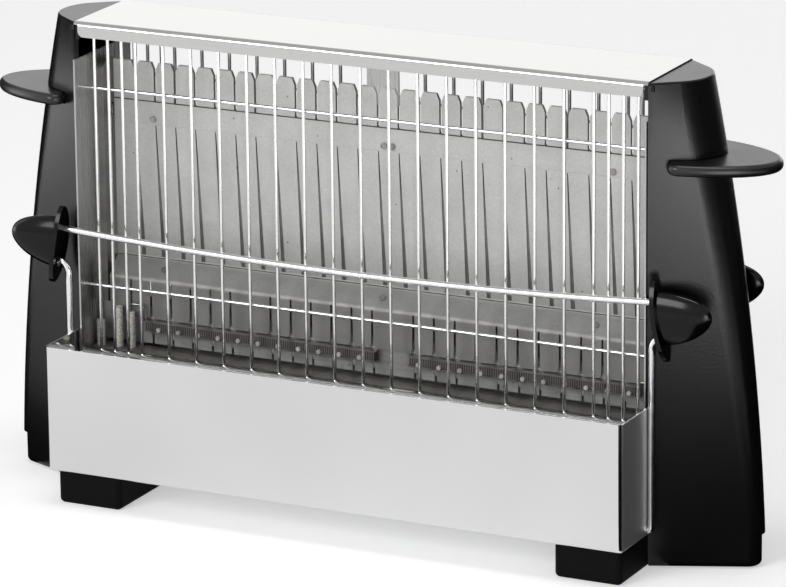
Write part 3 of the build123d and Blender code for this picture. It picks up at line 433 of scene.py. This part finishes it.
smoke = add_node(
    tree, "ShaderNodeTexNoise", {"Vector": spot, "Scale": 1 / SMOKE, "Detail": 5.0, "Roughness": 0.6}
)
grain = add_node(tree, "ShaderNodeTexNoise", {"Vector": spot, "Scale": 1 / DRY_GRAIN, "Detail": 2.0})
cloudy = add_node(
    tree,
    "ShaderNodeMix",
    {"Factor": smoke.outputs["Fac"], "A": srgb("#B4B4B3"), "B": srgb("#D8D8D7")},
    data_type="RGBA",
)
grained = add_node(
    tree,
    "ShaderNodeMix",
    {"Factor": grain.outputs["Fac"], "A": srgb("#D2D2D1"), "B": srgb("#FFFFFF")},
    data_type="RGBA",
)
toned = add_node(
    tree,
    "ShaderNodeMix",
    {"Factor": DRY_GRAIN_SHARE, "A": cloudy, "B": grained},
    data_type="RGBA",
    blend_type="MULTIPLY",
)
# Painted shade: the mask below darkens the lower part towards the bottom, with a ragged edge, and is
# multiplied into the tone.
height = add_node(tree, "ShaderNodeSeparateXYZ", {"Vector": spot}).outputs["Z"]
ragged = add_node(tree, "ShaderNodeMath", {"Value": smoke.outputs["Fac"]}, operation="MULTIPLY_ADD")
ragged.inputs[1].default_value = PAINTED_SHADE_WANDER
tree.links.new(height, ragged.inputs[2])
tarnish = add_node(
    tree, "ShaderNodeMapRange", {"Value": ragged, "From Min": PAINTED_SHADE_TOP, "From Max": PAINTED_SHADE_FOOT}
)
painted_shade = add_node(
    tree,
    "ShaderNodeMix",
    {"Factor": tarnish, "A": srgb("#FFFFFF"), "B": srgb("#BCBBB9")},
    data_type="RGBA",
)
toned_and_shaded = add_node(
    tree,
    "ShaderNodeMix",
    {"Factor": 1.0, "A": toned, "B": painted_shade},
    data_type="RGBA",
    blend_type="MULTIPLY",
)
shade = add_node(
    tree, "ShaderNodeMix", {"Factor": speckled, "A": srgb("#5A5957"), "B": toned_and_shaded}, data_type="RGBA"
)
dull = add_node(tree, "ShaderNodeMapRange", {"Value": smoke.outputs["Fac"], "To Min": 0.52, "To Max": 0.64})
relief = add_node(
    tree, "ShaderNodeBump", {"Height": grain.outputs["Fac"], "Strength": 0.3, "Distance": DRY_GRAIN_DEPTH}
)
surface = add_node(
    tree,
    "ShaderNodeBsdfPrincipled",
    {"Base Color": shade, "Metallic": 0.9, "Roughness": dull, "Normal": relief},
)
add_node(tree, "ShaderNodeOutputMaterial", {"Surface": surface})
cover_nodes(aluminised_steel, "reflector_front", "reflector_rear")

# Louvre fins: the edge of each reflector panel beside a tapered slot, bent back behind the next panel, so
# that no light passes straight through. They are the same dipped steel, with painted shade: darker than the
# sheet for the shade inside the slot, and darker still towards the narrow top of the slot. One fin is
# modelled and copied to every slot.
SLOT_PITCH = 0.011
SLOT_STEPS = 12
FIN_TOP = 0.181
FIN_FOOT = 0.115
FIN_TOP_SPAN = (-0.00045, 0.0006)
FIN_FOOT_SPAN = (0.0015, 0.0046)
FIN_DEPTHS = (-0.00064, -0.00054, -0.00036, -0.0001)
FIN_FACES = len(FIN_DEPTHS) - 1
FIN_THICKNESS = 0.0001
FIN_CLOUD = 0.006
GRID_HALF = 0.5
fin_steel, tree = new_finish("painted_shade_fin_steel")
spot = add_node(tree, "ShaderNodeTexCoord").outputs["Object"]
height_up = add_node(tree, "ShaderNodeSeparateXYZ", {"Vector": spot}).outputs["Z"]
# Painted shade: the fins darken towards the narrow top of the slot, over a tone already darker than the
# sheet.
painted_slot_shade = add_node(
    tree, "ShaderNodeMapRange", {"Value": height_up, "From Min": FIN_FOOT, "From Max": FIN_TOP}
)
cloudy = add_node(tree, "ShaderNodeTexNoise", {"Vector": spot, "Scale": 1 / FIN_CLOUD, "Detail": 3.0})
shaded_fin_tone = add_node(
    tree,
    "ShaderNodeMix",
    {"Factor": cloudy.outputs["Fac"], "A": srgb("#7A7A79"), "B": srgb("#B4B4B3")},
    data_type="RGBA",
)
shade = add_node(
    tree, "ShaderNodeMix", {"Factor": painted_slot_shade, "A": shaded_fin_tone, "B": srgb("#2A2A2A")}, data_type="RGBA"
)
surface = add_node(
    tree, "ShaderNodeBsdfPrincipled", {"Base Color": shade, "Metallic": 0.7, "Roughness": 0.55}
)
add_node(tree, "ShaderNodeOutputMaterial", {"Surface": surface})
bpy.ops.object.select_all(action="DESELECT")
bpy.ops.mesh.primitive_grid_add(x_subdivisions=FIN_FACES, y_subdivisions=1, size=2 * GRID_HALF)
fin = bpy.context.object
bpy.ops.object.mode_set(mode="EDIT")
for number in range(len(fin.data.vertices)):
    bpy.ops.mesh.select_all(action="DESELECT")
    bpy.ops.object.mode_set(mode="OBJECT")
    corner = fin.data.vertices[number]
    corner.select = True
    across = corner.co.x + GRID_HALF
    (start, end), up = (FIN_TOP_SPAN, FIN_TOP) if corner.co.y > 0 else (FIN_FOOT_SPAN, FIN_FOOT)
    move = Vector((start + (end - start) * across, FIN_DEPTHS[round(across * FIN_FACES)], up)) - corner.co
    bpy.ops.object.mode_set(mode="EDIT")
    bpy.ops.transform.translate(value=move)
bpy.ops.mesh.select_all(action="SELECT")
bpy.ops.mesh.extrude_region_move(TRANSFORM_OT_translate={"value": (0, FIN_THICKNESS, 0)})
bpy.ops.mesh.select_all(action="SELECT")
bpy.ops.mesh.normals_make_consistent(inside=False)
bpy.ops.object.mode_set(mode="OBJECT")
bpy.ops.object.shade_smooth()
for face, side in (("front", 1), ("rear", -1)):
    bpy.ops.object.select_all(action="DESELECT")
    fins = []
    for step in range(-SLOT_STEPS, SLOT_STEPS + 1):
        copied = fin.copy()
        copied.data = fin.data.copy()
        copied.data.transform(Matrix.Translation((step * SLOT_PITCH, 0, 0)))
        copied.data.transform(Matrix.Diagonal((1, side, 1, 1)))
        bpy.context.scene.collection.objects.link(copied)
        copied.select_set(True)
        fins.append(copied)
    bpy.context.view_layer.objects.active = fins[0]
    bpy.ops.object.join()
    joined = fins[0]
    joined.name = f"louvre_fins_{face}"
    if side < 0:
        bpy.ops.object.mode_set(mode="EDIT")
        bpy.ops.mesh.select_all(action="SELECT")
        bpy.ops.mesh.normals_make_consistent(inside=False)
        bpy.ops.object.mode_set(mode="OBJECT")
    joined.data.materials.append(fin_steel)
    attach(joined, "root")
bpy.data.objects.remove(fin)

# Pressed lines: long shallow folds that stiffen the reflectors: a dark step under the tabs, a bright crease
# above the fins in the same dipped steel, and a fine dark one below them, where the sheet begins to flare.
# The
# two dark ones are painted shade: dark strips standing for the shadow along the step and the fold.
PRESSED_LENGTH = 0.2874
PRESSED_PROUD = 0.0002
CREASE_ROUND = 0.00008
SHADE_PATCH_SIZE = 0.004
SHEET_FACE = 0.00095
FLARE_FACE = SHEET_FACE + 0.0003
# Painted shade for the two dark pressed lines, patchy along their length.
crease_shade, tree = new_finish("shaded_crease")
spot = add_node(tree, "ShaderNodeTexCoord").outputs["Object"]
shade_patches = add_node(tree, "ShaderNodeTexNoise", {"Vector": spot, "Scale": 1 / SHADE_PATCH_SIZE, "Detail": 3.0})
shade = add_node(
    tree,
    "ShaderNodeMix",
    {"Factor": shade_patches.outputs["Fac"], "A": srgb("#1C1C1C"), "B": srgb("#6A6A69")},
    data_type="RGBA",
)
surface = add_node(
    tree, "ShaderNodeBsdfPrincipled", {"Base Color": shade, "Metallic": 0.5, "Roughness": 0.6}
)
add_node(tree, "ShaderNodeOutputMaterial", {"Surface": surface})
PRESSED_LINES = (
    (0.1929, 0.0006, SHEET_FACE, crease_shade),
    (0.1815, 0.0003, SHEET_FACE, aluminised_steel),
    (0.114, 0.0004, FLARE_FACE, crease_shade),
)
for face, side in (("front", -1), ("rear", 1)):
    for number, (height, width, sheet_face, finish) in enumerate(PRESSED_LINES, 1):
        bpy.ops.object.select_all(action="DESELECT")
        middle = Vector((0, side * sheet_face, height))
        bpy.ops.mesh.primitive_cube_add(size=1, location=middle)
        pressed = bpy.context.object
        pressed.name = f"pressed_line_{face}_{number}"
        bpy.ops.object.mode_set(mode="EDIT")
        bpy.ops.transform.resize(value=(PRESSED_LENGTH, 2 * PRESSED_PROUD, width), center_override=middle)
        bpy.ops.mesh.bevel(offset=CREASE_ROUND, segments=2)
        bpy.ops.object.mode_set(mode="OBJECT")
        bpy.ops.object.transform_apply(location=True, rotation=True, scale=True)
        pressed.data.materials.append(finish)
        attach(pressed, "root")

# Lower reflectors: comb-like sheets of the same dipped steel behind the heating strips, held at their ends
# on the posts. Crumbs have been brushed off them, which leaves fine scratches along the sheet, and a few
# dark marks stay.
scoured_steel, tree = new_finish("scoured_aluminised_steel")
spot = add_node(tree, "ShaderNodeTexCoord").outputs["Object"]
SCRATCH_WIDTH = 0.0007
SCRATCH_LENGTH = 0.02
CRUMB_MARK = 0.004
MARK_DARK = 0.3
MARK_CLEAR = 0.42
stretched = add_node(
    tree,
    "ShaderNodeMapping",
    {"Vector": spot, "Scale": (1 / SCRATCH_LENGTH, 1 / SCRATCH_WIDTH, 1 / SCRATCH_WIDTH)},
)
scratches = add_node(tree, "ShaderNodeTexNoise", {"Vector": stretched, "Scale": 1.0, "Detail": 3.0})
crumb_marks = add_node(
    tree, "ShaderNodeTexNoise", {"Vector": spot, "Scale": 1 / CRUMB_MARK, "Detail": 5.0, "Roughness": 0.7}
)
scratched = add_node(
    tree,
    "ShaderNodeMix",
    {"Factor": scratches.outputs["Fac"], "A": srgb("#8A8A88"), "B": srgb("#B2B2B0")},
    data_type="RGBA",
)
marked = add_node(
    tree,
    "ShaderNodeMapRange",
    {"Value": crumb_marks.outputs["Fac"], "From Min": MARK_DARK, "From Max": MARK_CLEAR},
)
shade = add_node(
    tree, "ShaderNodeMix", {"Factor": marked, "A": srgb("#5E5D5B"), "B": scratched}, data_type="RGBA"
)
dull = add_node(
    tree, "ShaderNodeMapRange", {"Value": scratches.outputs["Fac"], "To Min": 0.34, "To Max": 0.5}
)
surface = add_node(
    tree, "ShaderNodeBsdfPrincipled", {"Base Color": shade, "Metallic": 0.4, "Roughness": dull}
)
add_node(tree, "ShaderNodeOutputMaterial", {"Surface": surface})
cover_nodes(scoured_steel, "lower_reflector_front", "lower_reflector_rear")

# Heat shield: a shallow stepped pan of the same dipped steel under the heating strips, browned by crumbs
# that have fallen on it.
browned_steel, tree = new_finish("crumb_browned_steel")
spot = add_node(tree, "ShaderNodeTexCoord").outputs["Object"]
CRUMB_STAIN = 0.005
stains = add_node(
    tree, "ShaderNodeTexNoise", {"Vector": spot, "Scale": 1 / CRUMB_STAIN, "Detail": 5.0, "Roughness": 0.7}
)
shade = add_node(
    tree,
    "ShaderNodeMix",
    {"Factor": stains.outputs["Fac"], "A": srgb("#605E5B"), "B": srgb("#A09F9D")},
    data_type="RGBA",
)
dull = add_node(tree, "ShaderNodeMapRange", {"Value": stains.outputs["Fac"], "To Min": 0.42, "To Max": 0.6})
surface = add_node(
    tree, "ShaderNodeBsdfPrincipled", {"Base Color": shade, "Metallic": 0.7, "Roughness": dull}
)
add_node(tree, "ShaderNodeOutputMaterial", {"Surface": surface})
cover_nodes(browned_steel, "heat_shield")

# Heating strips: flat resistance ribbon wound on a dark glazed core, a turn every 1.2 mm, and held in the
# heater channels by ceramic beads.
wound_ribbon, tree = new_finish("wound_resistance_ribbon")
spot = add_node(tree, "ShaderNodeTexCoord").outputs["Object"]
TURN = 0.0012
WAVE_NODE_SCALE = 20  # the wave node multiplies its scale by this
turns = add_node(
    tree,
    "ShaderNodeTexWave",
    {"Vector": spot, "Scale": 2 * pi / TURN / WAVE_NODE_SCALE, "Distortion": 0.4},
    bands_direction="X",
)
shade = add_node(
    tree,
    "ShaderNodeMix",
    {"Factor": turns.outputs["Fac"], "A": srgb("#3A3837"), "B": srgb("#8A8684")},
    data_type="RGBA",
)
surface = add_node(
    tree, "ShaderNodeBsdfPrincipled", {"Base Color": shade, "Roughness": 0.22, "Metallic": 0.4}
)
add_node(tree, "ShaderNodeOutputMaterial", {"Surface": surface})
cover_nodes(wound_ribbon, *[f"heating_strip_{corner}" for corner in CORNERS])

# Beads and terminal block: unglazed white steatite, pressed and fired. It is chalky, with a few grey marks.
# The block stands on the bottom plate and joins the supply to the leads.
MOTTLE = 0.003
steatite, tree = new_finish("white_steatite")
spot = add_node(tree, "ShaderNodeTexCoord").outputs["Object"]
mottle = add_node(tree, "ShaderNodeTexNoise", {"Vector": spot, "Scale": 1 / MOTTLE, "Detail": 4.0})
shade = add_node(
    tree,
    "ShaderNodeMix",
    {"Factor": mottle.outputs["Fac"], "A": srgb("#9B9994"), "B": srgb("#D6D4D0")},
    data_type="RGBA",
)
surface = add_node(tree, "ShaderNodeBsdfPrincipled", {"Base Color": shade, "Roughness": 0.45})
add_node(tree, "ShaderNodeOutputMaterial", {"Surface": surface})
cover_nodes(steatite, "ceramic_beads_front", "ceramic_beads_rear", "terminal_block")

# Lead sleeves: braided glass-fibre tubes over the leads that feed the heating strips, pale and fuzzy, with
# a lozenge weave.
WEAVE = 0.0011
WEAVE_DEPTH = 0.0002
glass_braid, tree = new_finish("glass_fibre_braid")
spot = add_node(tree, "ShaderNodeTexCoord").outputs["Object"]
weave = add_node(tree, "ShaderNodeTexVoronoi", {"Vector": spot, "Scale": 1 / WEAVE})
shade = add_node(
    tree,
    "ShaderNodeMix",
    {"Factor": weave.outputs["Distance"], "A": srgb("#F0EDE6"), "B": srgb("#A5A29B")},
    data_type="RGBA",
)
relief = add_node(
    tree, "ShaderNodeBump", {"Height": weave.outputs["Distance"], "Strength": 0.8, "Distance": WEAVE_DEPTH}
)
surface = add_node(
    tree, "ShaderNodeBsdfPrincipled", {"Base Color": shade, "Roughness": 0.8, "Normal": relief}
)
add_node(tree, "ShaderNodeOutputMaterial", {"Surface": surface})
cover_nodes(glass_braid, "lead_sleeves")

# Leads, rivets and screws: nickel-plated steel, small and bright, with a slight smoky tarnish. The rivets
# hold the reflectors together, and the screws hold the cheeks and the foot bars.
SMOKY_SPOT = 0.002
nickel_plate, tree = new_finish("nickel_plated_steel")
spot = add_node(tree, "ShaderNodeTexCoord").outputs["Object"]
tarnish = add_node(tree, "ShaderNodeTexNoise", {"Vector": spot, "Scale": 1 / SMOKY_SPOT, "Detail": 3.0})
shade = add_node(
    tree,
    "ShaderNodeMix",
    {"Factor": tarnish.outputs["Fac"], "A": srgb("#6F6D6A"), "B": srgb("#B4B2AE")},
    data_type="RGBA",
)
surface = add_node(
    tree, "ShaderNodeBsdfPrincipled", {"Base Color": shade, "Metallic": 1.0, "Roughness": 0.18}
)
add_node(tree, "ShaderNodeOutputMaterial", {"Surface": surface})
cover_nodes(nickel_plate, "lead_wires", "reflector_rivets", "cheek_screws", "foot_screws")

# Guards and bail rods: chromium-plated steel wire. The guards' uprights are welded to four cross wires, and
# each bail is one bent rod that swings on its ends. Handling has left the plating satin.
chrome_wire, tree = new_finish("chromed_wire")
spot = add_node(tree, "ShaderNodeTexCoord").outputs["Object"]
PLATING = 0.006
plating = add_node(tree, "ShaderNodeTexNoise", {"Vector": spot, "Scale": 1 / PLATING, "Detail": 4.0})
shade = add_node(
    tree,
    "ShaderNodeMix",
    {"Factor": plating.outputs["Fac"], "A": srgb("#E8E8E9"), "B": srgb("#F4F4F4")},
    data_type="RGBA",
)
dull = add_node(
    tree, "ShaderNodeMapRange", {"Value": plating.outputs["Fac"], "To Min": 0.14, "To Max": 0.22}
)
surface = add_node(
    tree, "ShaderNodeBsdfPrincipled", {"Base Color": shade, "Metallic": 1.0, "Roughness": dull}
)
add_node(tree, "ShaderNodeOutputMaterial", {"Surface": surface})
cover_nodes(chrome_wire, "guard_front", "guard_rear", "bail_front", "bail_rear")

# Cover: brushed stainless sheet folded over the top, with a lip along each side. It is satin, with fine
# lines along its length.
satin_stainless, tree = new_finish("satin_stainless")
spot = add_node(tree, "ShaderNodeTexCoord").outputs["Object"]
BRUSH_WIDTH = 0.0007
BRUSH_LENGTH = 0.05
stretched = add_node(
    tree,
    "ShaderNodeMapping",
    {"Vector": spot, "Scale": (1 / BRUSH_LENGTH, 1 / BRUSH_WIDTH, 1 / BRUSH_WIDTH)},
)
brushed = add_node(tree, "ShaderNodeTexNoise", {"Vector": stretched, "Scale": 1.0, "Detail": 2.0})
shade = add_node(
    tree,
    "ShaderNodeMix",
    {"Factor": brushed.outputs["Fac"], "A": srgb("#BEBEBD"), "B": srgb("#CCCCCB")},
    data_type="RGBA",
)
dull = add_node(
    tree, "ShaderNodeMapRange", {"Value": brushed.outputs["Fac"], "To Min": 0.13, "To Max": 0.2}
)
surface = add_node(
    tree, "ShaderNodeBsdfPrincipled", {"Base Color": shade, "Metallic": 1.0, "Roughness": dull}
)
add_node(tree, "ShaderNodeOutputMaterial", {"Surface": surface})
cover_nodes(satin_stainless, "top_cover")

# Knobs: black phenolic moulded on the bail's loops and polished, so that only a soft band along the top
# shines. Handling has dulled them in faint patches.
gloss_phenolic, tree = new_finish("gloss_black_phenolic")
spot = add_node(tree, "ShaderNodeTexCoord").outputs["Object"]
KNOB_HANDLING = 0.012
handled = add_node(tree, "ShaderNodeTexNoise", {"Vector": spot, "Scale": 1 / KNOB_HANDLING, "Detail": 3.0})
dull = add_node(
    tree, "ShaderNodeMapRange", {"Value": handled.outputs["Fac"], "To Min": 0.12, "To Max": 0.18}
)
shade = add_node(
    tree,
    "ShaderNodeMix",
    {"Factor": handled.outputs["Fac"], "A": srgb("#030304"), "B": srgb("#070708")},
    data_type="RGBA",
)
surface = add_node(
    tree, "ShaderNodeBsdfPrincipled", {"Base Color": shade, "Roughness": dull, "Specular IOR Level": 0.25}
)
add_node(tree, "ShaderNodeOutputMaterial", {"Surface": surface})
cover_nodes(gloss_phenolic, *[f"knob_{corner}" for corner in CORNERS])
